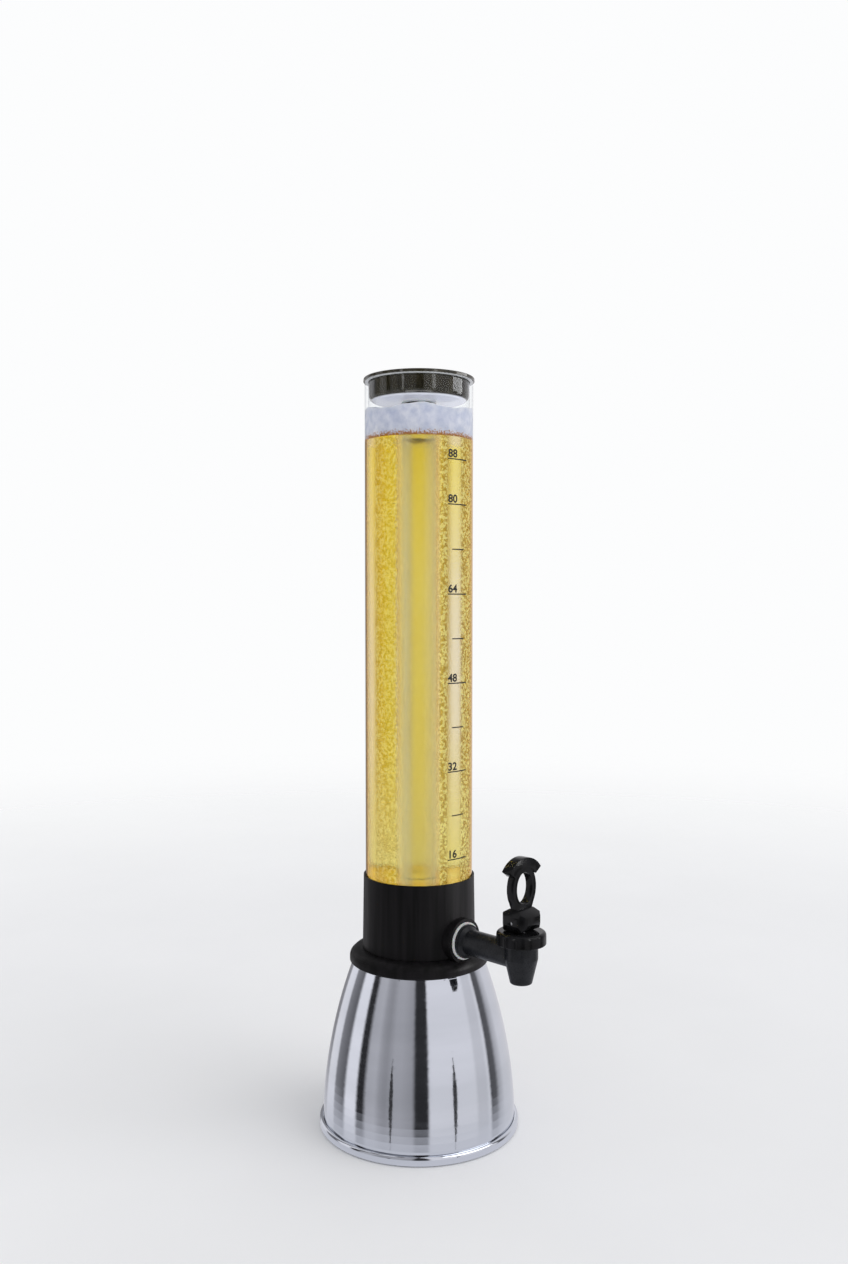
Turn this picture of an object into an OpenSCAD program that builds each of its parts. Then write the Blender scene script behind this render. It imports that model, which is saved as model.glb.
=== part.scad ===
// Table-top beer tower: a clear reservoir tube with a removable ice tube, held in a black
// collar on a bright bell-shaped base, with a self-closing lever tap.
// The origin is on the tube's axis at table level, +Z is up and the tap points to -Y.

/* [Tube] */
// Outer diameter of the clear reservoir tube
tube_od = 95; // [88:1:104]
// Wall of the reservoir tube
tube_wall = 3; // [2:0.5:4]
// Length of the reservoir tube
tube_len = 462; // [320:2:560]
// Thickness of the flat gasket under the tube
tube_gasket_t = 2.5; // [1.5:0.5:4]
// Width of that gasket's inner and outer margins
tube_gasket_margin = 0.3; // [0.2:0.1:0.6]

/* [Collar] */
// Height of the collar from the bell to its rim
collar_h = 77.1; // [70:0.1:96]
// Wall of the collar at its rim
collar_wall = 1.5; // [1.2:0.1:3]
// How much the collar's radius grows from the rim to the flange
collar_draft = 1; // [0:0.1:2]
// How far the flange reaches out from the collar
flange_reach = 11.6; // [10:0.2:16]
// Height of the domed top of the flange
flange_dome_h = 9; // [8:0.5:15]
// Height of the upright edge of the flange
flange_edge_h = 3.6; // [2.4:0.2:5]
// Bevel on the flange's lower edge
flange_bevel = 0.8; // [0.4:0.2:1.4]
// Depth of the fine line moulded round the flange
flange_line_d = 0.4; // [0.2:0.1:0.8]
// Height of that line above the flange's edge
flange_line_rise = 3.5; // [2:0.5:6]
// Height of the reservoir floor above the bell
floor_rise = 21.6; // [20.4:0.1:24]
// Thickness of the reservoir floor
floor_t = 3.5; // [2.5:0.5:4.5]
// Fillet round the reservoir floor
floor_fillet = 3; // [1:0.5:5]
// Height of the ledge that carries the tube, above the tap's axis
ledge_rise = 19.2; // [17:0.2:24]
// Wall of the ribs, boss and spigot under the floor
rib_t = 2.5; // [2:0.5:4]
// Number of ribs under the floor
rib_count = 6; // [4:1:10]
// Radius of the spigot that centres the collar in the bell
spigot_r = 35.9; // [30:0.1:38]
// Wall of the spigot
spigot_wall = 3.9; // [2.5:0.1:6]
// How far the spigot and the centre boss reach below the bell's top
spigot_drop = 3; // [2:0.5:6]
// Radius of the centre boss
centre_boss_r = 11; // [9:0.5:14]
// Width of the flange's seat on the bell
flange_seat_w = 9; // [7:0.5:11]

/* [Bell and base] */
// Height of the bell from its foot to its flat top
bell_h = 143.4; // [100:0.2:200]
// Sheet thickness of the bell
bell_wall = 1.2; // [0.8:0.1:2]
// How far the flange overhangs the bell's neck
flange_overhang = 2.4; // [1:0.2:4]
// Corner radius round the bell's flat top
bell_corner_r = 2; // [2:0.25:3.5]
// How high the bell's side stays near upright
bell_low_pull = 51; // [35:1:65]
// How far out the bell's side leans under its neck
bell_neck_out = 14.5; // [8:0.5:20]
// How far down from the neck that lean starts
bell_neck_down = 41.4; // [30:0.2:55]
// Outer diameter of the base ring
base_ring_d = 178.6; // [170:0.2:210]
// Height of the base ring
base_ring_h = 7.5; // [6.5:0.1:10]
// Width of the ring's lip outside the bell
ring_lip_w = 3; // [2.6:0.1:5]
// Height of the bell's foot above the ring's underside
ring_seat_h = 4; // [3.6:0.1:5]
// Rounding on the ring's outer top edge
ring_round = 2.4; // [1:0.2:2.6]
// Rounding on the ring's outer lower edge
ring_low_round = 0.8; // [0.4:0.2:1.4]
// Width of the ring inside the bell
ring_inner_w = 6.8; // [5:0.2:10]
// How far the base plate laps under the ring
plate_lap = 4; // [2:0.2:4.4]
// Metal left between the base plate and the foot ring's groove
foot_margin = 0.9; // [0.6:0.1:1.2]
// Height of the foot ring that shows below the base
foot_show = 1; // [0.6:0.2:2]
// Depth of the foot ring's groove
foot_sunk = 1.6; // [1:0.2:2]
// Width of the foot ring
foot_w = 3.3; // [2:0.1:4]
// Thickness of the base plate
plate_t = 2; // [1.2:0.2:3]
// Height of the raised centre of the base plate
plate_rise = 10; // [9:0.5:16]
// Radius of the raised centre of the base plate
plate_rise_r = 20; // [14:0.5:26]
// Gap between the ballast and the base ring
ballast_margin = 2; // [1:0.5:20]
// Height of the ballast
ballast_h = 14; // [8:1:30]

/* [Tie rod] */
// Diameter of the tie rod
rod_d = 8; // [6:1:10]
// How far the rod stands below its nut
rod_tail = 0.9; // [0.5:0.1:1]
// Radius of the insert in the collar's boss
insert_r = 6; // [5.6:0.1:8]
// Length of the insert
insert_h = 14; // [10:1:16]
// Nut height
tie_nut_h = 6.5; // [5:0.1:6.5]
// Nut size across the flats
tie_nut_af = 13; // [12:0.5:17]
// Washer thickness
tie_washer_t = 1.6; // [1:0.2:1.6]
// Washer radius
tie_washer_r = 8; // [7:0.5:12]

/* [Lid and ice tube] */
// How far the lid's rim stands out past the tube
rim_overhang = 1.1; // [0:0.1:4]
// Thickness of the lid's rim
rim_t = 2.5; // [1.5:0.1:5]
// Depth of the plug below the tube's top
plug_depth = 17.5; // [15:0.5:30]
// Gap between plug and tube all round
plug_gap = 0.6; // [0.3:0.1:1.5]
// Wall of the plug
plug_wall = 2.2; // [1.5:0.1:3.5]
// Thickness of the plug's floor
plug_floor_t = 2.5; // [1.5:0.1:4]
// Corner radius under the plug
plug_corner_r = 5.5; // [4:0.5:8]
// Outer diameter of the ice tube
ice_od = 30; // [26:1:36]
// Wall of the ice tube
ice_wall = 2; // [1.5:0.1:3]
// Clear height between the ice tube and the reservoir floor
ice_clear = 35; // [24:1:120]
// Corner radius of the ice tube's closed end
ice_corner_r = 8; // [4:0.5:12]
// Length of the ice tube's neck
neck_h = 13; // [10:0.5:13]
// Step from the ice tube to its neck
neck_step = 1.8; // [1.2:0.1:2.5]
// Wall of the neck
neck_wall = 1.8; // [1.2:0.1:2.4]
// Thickness of the ice tube's seal
ice_seal_t = 1.2; // [0.8:0.1:2]
// Wall of the hub that holds the neck
hub_wall = 4.75; // [3:0.25:6]

/* [Tap body] */
// Height of the tap's axis above the bell
tap_rise = 27.4; // [26.8:0.1:30]
// How far the boss stands out from the collar
boss_reach = 5.7; // [4.5:0.1:8]
// Radius of the boss
boss_r = 19; // [17.8:0.1:20]
// Radius of the outer gasket
tap_gasket_r = 16; // [14.8:0.1:17]
// Room round the outer gasket on the boss's flat face
spot_margin = 0.9; // [0.6:0.1:1.5]
// Thickness of the outer gasket
tap_gasket_t = 1.5; // [1:0.1:3]
// Radius of the tap's flange
tap_flange_r = 14.5; // [12.5:0.1:15]
// Thickness of the tap's flange
tap_flange_t = 2.5; // [1.5:0.1:4]
// Length of the cone between the flange and the arm
arm_cone_h = 3; // [1:0.5:6]
// Radius of the arm
arm_r = 11; // [9:0.1:12]
// Distance from the boss to the spout's axis
tap_reach = 63; // [54:0.5:90]
// Radius of the bore through the arm
arm_bore_r = 5; // [3.5:0.1:5.5]
// Radius of the shank through the collar
shank_r = 8; // [7.4:0.1:9]
// How far the shank stands past its nut
shank_tail = 3.3; // [1:0.1:4]
// Radius of the barrel
barrel_r = 14; // [12.2:0.1:15]
// Length of the spout below the tap's axis
spout_drop = 21.8; // [20:0.2:28]
// Height below the tap's axis at which the spout starts to taper
taper_drop = 1; // [0.2:0.2:5]
// Radius of the spout's end
spout_r = 9.4; // [8:0.1:10]
// Rounding on the spout's end
spout_round = 1.4; // [0.6:0.1:2]
// Radius of the spout's bore
spout_bore_r = 6; // [4.5:0.1:6.2]
// Radius of the valve chamber
chamber_bore_r = 9.5; // [9.4:0.1:9.6]
// Height of the valve seat's floor below the tap's axis
seat_drop = 11.8; // [11:0.1:12.4]
// Height of the seat's lip
seat_lip_h = 0.8; // [0.4:0.1:1.2]
// Wall of the seat's lip
seat_lip_w = 0.9; // [0.6:0.1:1.2]

/* [Tap nut and seals] */
// Nut size across the flats
tap_nut_af = 24; // [21:0.5:25]
// Nut thickness
tap_nut_t = 7; // [5:0.5:9]
// Radius of the inner washer
inner_washer_r = 13; // [11.5:0.1:13.5]
// Thickness of the inner washer
inner_washer_t = 1.7; // [1:0.1:3]
// Depth of the flat pad under the inner washer
pad_depth = 2.5; // [2.4:0.1:3.5]
// Radius of that pad
pad_r = 14; // [13.6:0.1:14.6]
// Radius of the pocket in the floor round the nut
sump_r = 15; // [14.8:0.1:15.6]

/* [Bonnet and valve] */
// Outer radius of the bonnet
bonnet_r = 20.6; // [20.2:0.1:23]
// Height of the bonnet
bonnet_h = 10.8; // [10:0.1:13]
// Thickness of the bonnet's top
bonnet_top_t = 3.5; // [2.5:0.1:3.9]
// Wall of the bonnet's skirt
bonnet_wall = 2.25; // [1.8:0.05:3]
// Rounding on the bonnet's top edge
bonnet_round = 3; // [1:0.2:3.4]
// Number of grip flutes round the bonnet
flute_count = 24; // [12:1:32]
// Radius of a flute
flute_r = 1.1; // [0.6:0.1:1.4]
// Depth of a flute
flute_d = 0.45; // [0.2:0.05:0.6]
// Radius of the stem
stem_r = 4; // [3.6:0.1:4.2]
// Radius of the stem's foot
stem_foot_r = 7.2; // [6.6:0.1:7.4]
// Thickness of the stem's foot
stem_foot_t = 2; // [1.5:0.1:2.5]
// Width of the stem's flattened top
stem_flat_w = 5.6; // [4.8:0.1:6]
// How far the stem reaches above the lever's pin
stem_over_pin = 4.5; // [3:0.1:4.8]
// Height of the silicone nose under the stem's foot
nose_h = 6; // [5:0.1:6.5]
// How far the nose laps over the seat's lip
nose_lap = 0.4; // [0.3:0.1:0.8]
// Wall of the silicone seat cup
cup_wall = 1; // [0.8:0.1:1.1]
// Thickness of the seat cup's clamped rim
cup_rim_t = 1.8; // [1.2:0.1:2.2]
// How far that rim reaches out
cup_rim_w = 3.4; // [2.5:0.1:3.6]
// Wire diameter of the closing spring
spring_wire_d = 1.3; // [0.8:0.1:1.5]
// Mean radius of the spring
spring_r = 5.6; // [5.3:0.1:5.9]
// Number of turns of the spring
spring_turns = 6; // [4:0.5:7]

/* [Lever] */
// Width of the lever's block
block_w = 27; // [25:0.5:28]
// Bevel on the block's upright corners
block_bevel = 5.6; // [3:0.1:6.5]
// Height of the lever's pin above the bonnet
pin_rise = 8.1; // [8:0.1:9]
// Radius of the lever's pin
pin_r = 1.5; // [1.2:0.1:1.8]
// How far the pin stops short of the block's sides
pin_sunk = 1; // [0.5:0.1:2]
// Lift of the stem for each radian of tilt
cam_lift = 4; // [3:0.1:4]
// Tilt at which the tap is fully open
open_angle = 60; // [40:1:60]
// Height of the block above the pin
block_rise = 5.5; // [5:0.1:10]
// Height of the sloped shoulders
shoulder_h = 5.3; // [3:0.1:6]
// Width of the top of the shoulders
shoulder_w = 19; // [17:0.5:22]
// Depth of the top of the shoulders
shoulder_d = 10; // [9.5:0.5:14]
// Width of the bevel under the block
foot_bevel_w = 3.5; // [1:0.5:4]
// Height of that bevel
foot_bevel_h = 6; // [2:0.5:6]
// Width of the finger loop
loop_w = 29; // [26:0.5:33]
// Height of the finger loop
loop_h = 38; // [34:0.5:44]
// Width of the loop's opening
hole_w = 19.6; // [16:0.2:22]
// Height of the loop's opening
hole_h = 26.8; // [22:0.2:30]
// Thickness of the loop
loop_t = 7; // [5:0.5:8.5]
// How far the loop sinks into the block
loop_sunk = 2.3; // [1:0.1:4]
// Width of the loop's two legs where they leave the block
leg_w = 16.5; // [13:0.5:16.5]
// Height of these legs
leg_h = 9.5; // [6:0.5:12]
// Outer radius of the curved banner
banner_r = 24.2; // [22:0.1:30]
// Width of the banner
banner_w = 39; // [32:0.5:42]
// Height of the banner's band
banner_band = 8; // [6:0.5:10]
// Thickness of the banner
banner_t = 9; // [7:0.5:11]
// How far the banner stands above the loop
banner_over = 6.4; // [5:0.1:7.4]

/* [Clearances] */
// Gap between parts that are pushed together
slip_gap = 0.3; // [0.2:0.05:0.4]
// Radial gap of a shaft in its hole
run_gap = 0.05; // [0.03:0.01:0.08]
// Gap left round the soft valve parts
soft_gap = 0.2; // [0.15:0.05:0.3]
// Gap under the lever's cam
cam_gap = 0.3; // [0.2:0.05:0.4]
// Spare angle in the lever's slot past fully open
slot_spare = 2; // [1:1:4]
// Gap round the seat cup in its chamber
cup_gap = 0.5; // [0.4:0.05:0.7]
// Gap on both sides of the foot ring in its groove
foot_gap = 0.1; // [0.05:0.05:0.2]

/* [Hidden] */
$fn = 96;
// Overlap used only to make cuts run clear through
cut = 1;
// Segments of a drawn curve and of a small rounding
curve_n = 24;
round_n = 6;

// Base
plate_z = foot_show;
ring_top_z = foot_show + base_ring_h;
bell_z = foot_show + ring_seat_h;
bell_foot_r = base_ring_d / 2 - ring_lip_w - slip_gap;
ring_in_r = bell_foot_r - bell_wall - ring_inner_w;
plate_r = ring_in_r + plate_lap;
foot_groove_r = plate_r + slip_gap + foot_margin;
foot_in_r = foot_groove_r + foot_gap;
foot_out_r = foot_in_r + foot_w;
plate_top_z = plate_z + plate_t;
bell_top_z = bell_z + bell_h;
washer_top_z = plate_top_z + plate_rise - plate_t;
nut_top_z = washer_top_z - tie_washer_t;
nut_low_z = nut_top_z - tie_nut_h;

// Collar
tube_r = tube_od / 2;
bore_r = tube_r - tube_wall;
socket_r = tube_r + slip_gap;
collar_top_r = socket_r + collar_wall;
collar_low_r = collar_top_r + collar_draft;
flange_r = collar_low_r + flange_reach;
bell_neck_r = flange_r - flange_overhang;
dome_z = bell_top_z + flange_edge_h;
neck_z = dome_z + flange_dome_h;
collar_top_z = bell_top_z + collar_h;
floor_z = bell_top_z + floor_rise;
floor_low_z = floor_z - floor_t;
tap_z = bell_top_z + tap_rise;
ledge_z = tap_z + ledge_rise;
spigot_z = bell_top_z - spigot_drop;
bell_hole_r = spigot_r + slip_gap;
void_r = flange_r - flange_seat_w;

// Tube, lid and ice tube
tube_z = ledge_z + tube_gasket_t;
tube_top_z = tube_z + tube_len;
plug_r = bore_r - plug_gap;
plug_z = tube_top_z - plug_depth;
rim_r = tube_r + rim_overhang;
rim_top_z = tube_top_z + rim_t;
well_z = plug_z + plug_floor_t;
ice_r = ice_od / 2;
neck_r = ice_r - neck_step;
neck_socket_r = neck_r + run_gap;
neck_z0 = plug_z - ice_seal_t;
socket_top_z = neck_z0 + neck_h + slip_gap;
hub_r = neck_socket_r + hub_wall;
hub_top_z = socket_top_z + plug_floor_t;
ice_z = floor_z + ice_clear;

// Tap, measured from the tower's axis towards the spout
boss_end = collar_low_r + boss_reach;
gasket_end = boss_end + tap_gasket_t;
flange_end = gasket_end + tap_flange_t;
spout_axis = boss_end + tap_reach;
pad_end = bore_r - pad_depth;
washer_end = pad_end - inner_washer_t;
nut_end = washer_end - tap_nut_t;
shank_end = nut_end - shank_tail;
sump_end = shank_end - slip_gap;
hole_r = shank_r + slip_gap;
spot_r = tap_gasket_r + spot_margin;
spout_z = tap_z - spout_drop;
taper_z = tap_z - taper_drop;
seat_z = tap_z - seat_drop;
lip_z = seat_z + seat_lip_h;
bonnet_z = tap_z + arm_r + slip_gap;
head_z = bonnet_z + slip_gap;
bonnet_top_z = bonnet_z + bonnet_h;
bonnet_roof_z = bonnet_top_z - bonnet_top_t;
head_top_z = bonnet_roof_z - soft_gap;
head_r = bonnet_r - bonnet_wall - slip_gap / 2;

// Valve
nose_z = lip_z + soft_gap;
foot_z = nose_z + nose_h;
foot_top_z = foot_z + stem_foot_t;
cup_r = chamber_bore_r - cup_gap;
rim_in_z = head_top_z - cup_rim_t;
rebate_z = rim_in_z - soft_gap;
rebate_r = cup_r + cup_rim_w + soft_gap;
cup_rim_r = cup_r + cup_rim_w;
pin_z = bonnet_top_z + pin_rise;
stem_top_z = pin_z + stem_over_pin;
full_lift = cam_lift * open_angle * PI / 180;
flat_z = bonnet_top_z - full_lift;
spring_sides = 6;
spring_rings = 8;
spring_low_z = foot_top_z + spring_wire_d / 2 + run_gap;
spring_high_z = bonnet_roof_z - spring_wire_d / 2 - run_gap;
spring_pitch = (spring_high_z - spring_low_z) / spring_turns;
spring_n = round(spring_turns * spring_rings);
echo(spring_least_self_gap = spring_pitch - spring_wire_d);

// Lever
half_w = block_w / 2;
cam_h = pin_rise - cam_gap;
block_top_z = pin_z + block_rise;
block_low_z = pin_z - cam_h;
shoulder_z = block_top_z + shoulder_h;
loop_z = shoulder_z - loop_sunk + loop_h / 2;
leg_top_z = shoulder_z + leg_h;
leg_half = loop_w * sqrt(1 / 4 - pow((leg_top_z - loop_z) / loop_h, 2));
banner_z = loop_z + loop_h / 2 + banner_over - banner_r;
banner_half = asin(banner_w / 2 / banner_r);
slot_w = stem_flat_w + 2 * slip_gap;
slot_r = norm([stem_r, stem_over_pin]) + 2 * slip_gap;
slot_half = stem_r + 2 * slip_gap;
slot_reach = block_w;
pin_len = block_w - 2 * pin_sunk;

// Cam line under the block: an involute, so the stem rises in step with the tilt
cam_points = [
    for (i = [0:curve_n])
    let(a = 90 * i / curve_n, h = cam_h + cam_lift * a * PI / 180)
    [h * sin(a) + cam_lift * cos(a), -h * cos(a) + cam_lift * sin(a)]
];

chrome = [0.80, 0.80, 0.83];
black_plastic = [0.07, 0.07, 0.08];
smoke = [0.16, 0.15, 0.13, 0.85];
clear = [0.92, 0.94, 0.96, 0.35];
silicone = [0.90, 0.90, 0.88];
steel = [0.66, 0.67, 0.69];
iron = [0.24, 0.24, 0.25];
brass = [0.78, 0.62, 0.30];
rubber = [0.12, 0.12, 0.12];

// Points of an elliptic arc round c, from angle a to angle b
function arc(c, rx, ry, a, b, n) =
    [for (i = [0:n]) let(t = a + (b - a) * i / n) c + [rx * cos(t), ry * sin(t)]];

// Points of a smooth curve with two pulling handles
function bow(p, q, s, e, n) =
    [for (i = [0:n]) let(t = i / n, u = 1 - t)
        u * u * u * p + 3 * u * u * t * q + 3 * u * t * t * s + t * t * t * e];

// The same points in the other order
function reversed(pts) = [for (i = [len(pts) - 1:-1:0]) pts[i]];

// Points of a full ellipse
function ellipse(c, w, h, n) =
    [for (i = [0:n - 1]) let(t = 360 * i / n) c + [w / 2 * cos(t), h / 2 * sin(t)]];

// A flat ring standing on z
module ring(r_out, r_in, z, h) {
    translate([0, 0, z])
    difference() {
        cylinder(r = r_out, h = h);
        translate([0, 0, -cut]) cylinder(r = r_in, h = h + 2 * cut);
    }
}

// Turns children so that their +Z runs from the tower's axis towards the spout
module along_tap() {
    translate([0, 0, tap_z]) rotate([90, 0, 0]) children();
}

// A round bar on the tap's axis, from one distance from the tower's axis to another
module tap_bar(r, from, to) {
    along_tap() translate([0, 0, from]) cylinder(r = r, h = to - from);
}

// Puts children on the spout's axis
module at_spout() {
    translate([0, -spout_axis, 0]) children();
}

// A hexagonal prism, flats facing sideways
module hex_prism(af, h) {
    cylinder(r = af / sqrt(3), h = h, $fn = 6);
}

// ---- base ----------------------------------------------------------------

module foot_ring() {
    color(rubber) ring(foot_out_r, foot_in_r, 0, foot_show + foot_sunk - run_gap);
}

// Bright rolled ring: the bell stands in its upper groove, the base plate closes it below
module base_ring() {
    ring_r = base_ring_d / 2;
    groove_r = foot_out_r + foot_gap;
    slot_in = bell_foot_r - bell_wall - slip_gap;
    slot_out = bell_foot_r + slip_gap;
    inner_top_z = bell_z + foot_sunk;
    low = ring_low_round;
    top = ring_round;
    outline = concat(
        [[plate_r + slip_gap, plate_z], [foot_groove_r, plate_z], [foot_groove_r, plate_z + foot_sunk],
         [groove_r, plate_z + foot_sunk], [groove_r, plate_z]],
        arc([ring_r - low, plate_z + low], low, low, -90, 0, round_n),
        arc([ring_r - top, ring_top_z - top], top, top, 0, 90, 2 * round_n),
        [[slot_out, ring_top_z], [slot_out, bell_z], [slot_in, bell_z], [slot_in, inner_top_z],
         [ring_in_r, inner_top_z], [ring_in_r, plate_top_z], [plate_r + slip_gap, plate_top_z]]
    );
    color(chrome) rotate_extrude() polygon(outline);
}

// Pressed plate, dished up in the middle to hide the tie rod's nut
module base_plate() {
    rise_z = plate_top_z + plate_rise;
    in_r = plate_rise_r - plate_t;
    hole = rod_d / 2 + slip_gap;
    color(steel) rotate_extrude() polygon([
        [hole, rise_z - plate_t], [in_r, rise_z - plate_t], [in_r, plate_z], [plate_r, plate_z],
        [plate_r, plate_top_z], [plate_rise_r, plate_top_z], [plate_rise_r, rise_z], [hole, rise_z]
    ]);
}

module ballast() {
    color(iron) ring(ring_in_r - ballast_margin, plate_rise_r + slip_gap, plate_top_z, ballast_h);
}

// Outer line of the bell, from its foot up to its flat top
function bell_line(inset) = bow(
    [bell_foot_r - inset, bell_z],
    [bell_foot_r - inset, bell_z + bell_low_pull],
    [bell_neck_r - inset + bell_neck_out, bell_top_z - bell_neck_down],
    [bell_neck_r - inset, bell_top_z - bell_corner_r],
    curve_n
);

module bell() {
    corner = [bell_neck_r - bell_corner_r, bell_top_z - bell_corner_r];
    in_corner = bell_corner_r - bell_wall;
    outline = concat(
        bell_line(0),
        arc(corner, bell_corner_r, bell_corner_r, 0, 90, round_n),
        [[bell_hole_r, bell_top_z], [bell_hole_r, bell_top_z - bell_wall]],
        arc(corner, in_corner, in_corner, 90, 0, round_n),
        reversed(bell_line(bell_wall))
    );
    color(chrome) rotate_extrude() polygon(outline);
}

// ---- tie rod --------------------------------------------------------------

module tie_rod() {
    low_z = nut_low_z - rod_tail;
    top_z = spigot_z + insert_h - cut;
    color(steel) translate([0, 0, low_z]) cylinder(d = rod_d, h = top_z - low_z);
}

module tie_washer() {
    color(steel) ring(tie_washer_r, rod_d / 2 + slip_gap, nut_top_z, tie_washer_t);
}

module tie_nut() {
    color(steel)
    difference() {
        translate([0, 0, nut_low_z]) hex_prism(tie_nut_af, tie_nut_h);
        translate([0, 0, nut_low_z - cut]) cylinder(r = rod_d / 2 + run_gap, h = tie_nut_h + 2 * cut);
    }
}

module tie_insert() {
    color(brass) ring(insert_r, rod_d / 2 + run_gap, spigot_z, insert_h);
}

// ---- collar ---------------------------------------------------------------

module collar_solid() {
    line_z = dome_z + flange_line_rise;
    line_a = asin(flange_line_rise / flange_dome_h);
    dome = [collar_low_r, dome_z];
    outline = concat(
        [[0, bell_top_z], [flange_r - flange_bevel, bell_top_z], [flange_r, bell_top_z + flange_bevel]],
        arc(dome, flange_reach, flange_dome_h, 0, line_a, round_n),
        arc(dome, flange_reach - flange_line_d, flange_dome_h - flange_line_d, line_a, 90, 2 * round_n),
        [[collar_top_r, collar_top_z], [0, collar_top_z]]
    );
    rotate_extrude() polygon(outline);
}

// Reservoir floor, chamber, tube ledge and tube socket
module collar_bore() {
    corner = [bore_r - floor_fillet, floor_z + floor_fillet];
    outline = concat(
        [[0, floor_z]],
        arc(corner, floor_fillet, floor_fillet, -90, 0, round_n),
        [[bore_r, ledge_z], [socket_r, ledge_z], [socket_r, collar_top_z + cut],
         [0, collar_top_z + cut]]
    );
    rotate_extrude() polygon(outline);
}

// Hollows moulded under the floor, on both sides of the spigot's wall
module collar_voids() {
    spigot_in = spigot_r - spigot_wall;
    wall_r = collar_low_r - floor_t;
    low_z = spigot_z - cut;
    step_z = dome_z + flange_dome_h / 2;
    difference() {
        rotate_extrude() polygon([
            [spigot_r, low_z], [void_r, low_z], [void_r, step_z],
            [wall_r, floor_low_z], [spigot_r, floor_low_z]
        ]);
        collar_ribs();
    }
    difference() {
        ring(spigot_in, centre_boss_r, low_z, floor_low_z - low_z);
        collar_ribs();
    }
}

module collar_ribs() {
    for (i = [0:rib_count - 1])
        rotate([0, 0, 360 * (i + 0.5) / rib_count])
        translate([0, -rib_t / 2, bell_top_z])
        cube([flange_r, rib_t, floor_low_z - bell_top_z + cut]);
}

module collar() {
    color(black_plastic)
    difference() {
        union() {
            difference() {
                union() {
                    collar_solid();
                    translate([0, 0, spigot_z]) cylinder(r = spigot_r, h = spigot_drop + cut);
                }
                collar_bore();
                collar_voids();
            }
            // Wall round the nut's pocket, below the floor
            intersection() {
                tap_bar(sump_r + floor_t, sump_end - floor_t, bore_r);
                translate([0, 0, bell_top_z])
                cylinder(r = (bore_r + collar_low_r) / 2, h = floor_rise - floor_t / 2);
            }
            // Flat pad under the inner washer
            tap_bar(pad_r, pad_end, bore_r + collar_wall);
            // Outer boss
            tap_bar(boss_r, bore_r + cut / 2, boss_end);
        }
        tap_bar(hole_r, sump_end - cut, spout_axis);
        tap_bar(spot_r, boss_end, spout_axis);
        tap_bar(sump_r, sump_end, pad_end);
        translate([0, 0, spigot_z - cut]) cylinder(r = insert_r + run_gap, h = insert_h + cut);
    }
}

// ---- reservoir ------------------------------------------------------------

module tube_gasket() {
    margin = tube_gasket_margin;
    color(silicone) ring(tube_r - margin, bore_r + margin, ledge_z, tube_gasket_t);
}

module tube() {
    color(clear) ring(tube_r, bore_r, tube_z, tube_len);
}

// Rim, hollow plug and the hub that the ice tube screws into
module lid() {
    edge = rim_t / 3;
    out = plug_corner_r;
    well_r = plug_r - plug_wall;
    in = plug_corner_r - plug_wall / 2;
    outline = concat(
        [[neck_socket_r, plug_z]],
        arc([plug_r - out, plug_z + out], out, out, -90, 0, round_n),
        [[plug_r, tube_top_z], [rim_r, tube_top_z]],
        arc([rim_r - edge, rim_top_z - edge], edge, edge, 0, 90, round_n),
        [[well_r, rim_top_z]],
        arc([well_r - in, well_z + in], in, in, 0, -90, round_n),
        [[hub_r, well_z], [hub_r, hub_top_z], [0, hub_top_z], [0, socket_top_z],
         [neck_socket_r, socket_top_z]]
    );
    color(smoke) rotate_extrude() polygon(outline);
}

module ice_tube() {
    out = ice_corner_r;
    in = ice_corner_r - ice_wall;
    corner = [ice_r - out, ice_z + out];
    in_r = ice_r - ice_wall;
    neck_in_r = neck_r - neck_wall;
    neck_top_z = neck_z0 + neck_h;
    outline = concat(
        [[0, ice_z]],
        arc(corner, out, out, -90, 0, round_n),
        [[ice_r, neck_z0], [neck_r, neck_z0], [neck_r, neck_top_z], [neck_in_r, neck_top_z],
         [neck_in_r, neck_z0 - ice_wall], [in_r, neck_z0 - 2 * ice_wall]],
        arc(corner, in, in, 0, -90, round_n),
        [[0, ice_z + ice_wall]]
    );
    color(clear) rotate_extrude() polygon(outline);
}

module ice_tube_seal() {
    color(silicone) ring(ice_r - run_gap, neck_r + run_gap, neck_z0, ice_seal_t);
}

// ---- tap ------------------------------------------------------------------

module tap_gasket() {
    color(silicone) along_tap() ring(tap_gasket_r, shank_r + run_gap, boss_end, tap_gasket_t);
}

module inner_washer() {
    color(silicone) along_tap() ring(inner_washer_r, shank_r + run_gap, washer_end, inner_washer_t);
}

module tap_nut() {
    color(black_plastic)
    along_tap()
    translate([0, 0, nut_end])
    difference() {
        rotate([0, 0, 30]) hex_prism(tap_nut_af, tap_nut_t);
        translate([0, 0, -cut]) cylinder(r = shank_r + run_gap, h = tap_nut_t + 2 * cut);
    }
}

module tap_body() {
    end = spout_round;
    barrel = concat(
        [[0, spout_z]],
        arc([spout_r - end, spout_z + end], end, end, -90, 0, round_n),
        [[barrel_r, taper_z], [barrel_r, head_z], [head_r, head_z], [head_r, head_top_z],
         [0, head_top_z]]
    );
    lip_r = spout_bore_r + seat_lip_w;
    bore = [
        [0, spout_z - cut], [spout_bore_r, spout_z - cut], [spout_bore_r, lip_z], [lip_r, lip_z],
        [lip_r, seat_z], [chamber_bore_r, seat_z], [chamber_bore_r, rebate_z], [rebate_r, rebate_z],
        [rebate_r, head_top_z + cut], [0, head_top_z + cut]
    ];
    color(black_plastic)
    difference() {
        union() {
            tap_bar(shank_r, shank_end, flange_end);
            tap_bar(tap_flange_r, gasket_end, flange_end);
            along_tap() translate([0, 0, flange_end])
            cylinder(r1 = tap_flange_r - cut, r2 = arm_r, h = arm_cone_h);
            tap_bar(arm_r, flange_end, spout_axis);
            at_spout() rotate_extrude() polygon(barrel);
        }
        at_spout() rotate_extrude() polygon(bore);
        tap_bar(arm_bore_r, shank_end - cut, spout_axis);
    }
}

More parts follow.
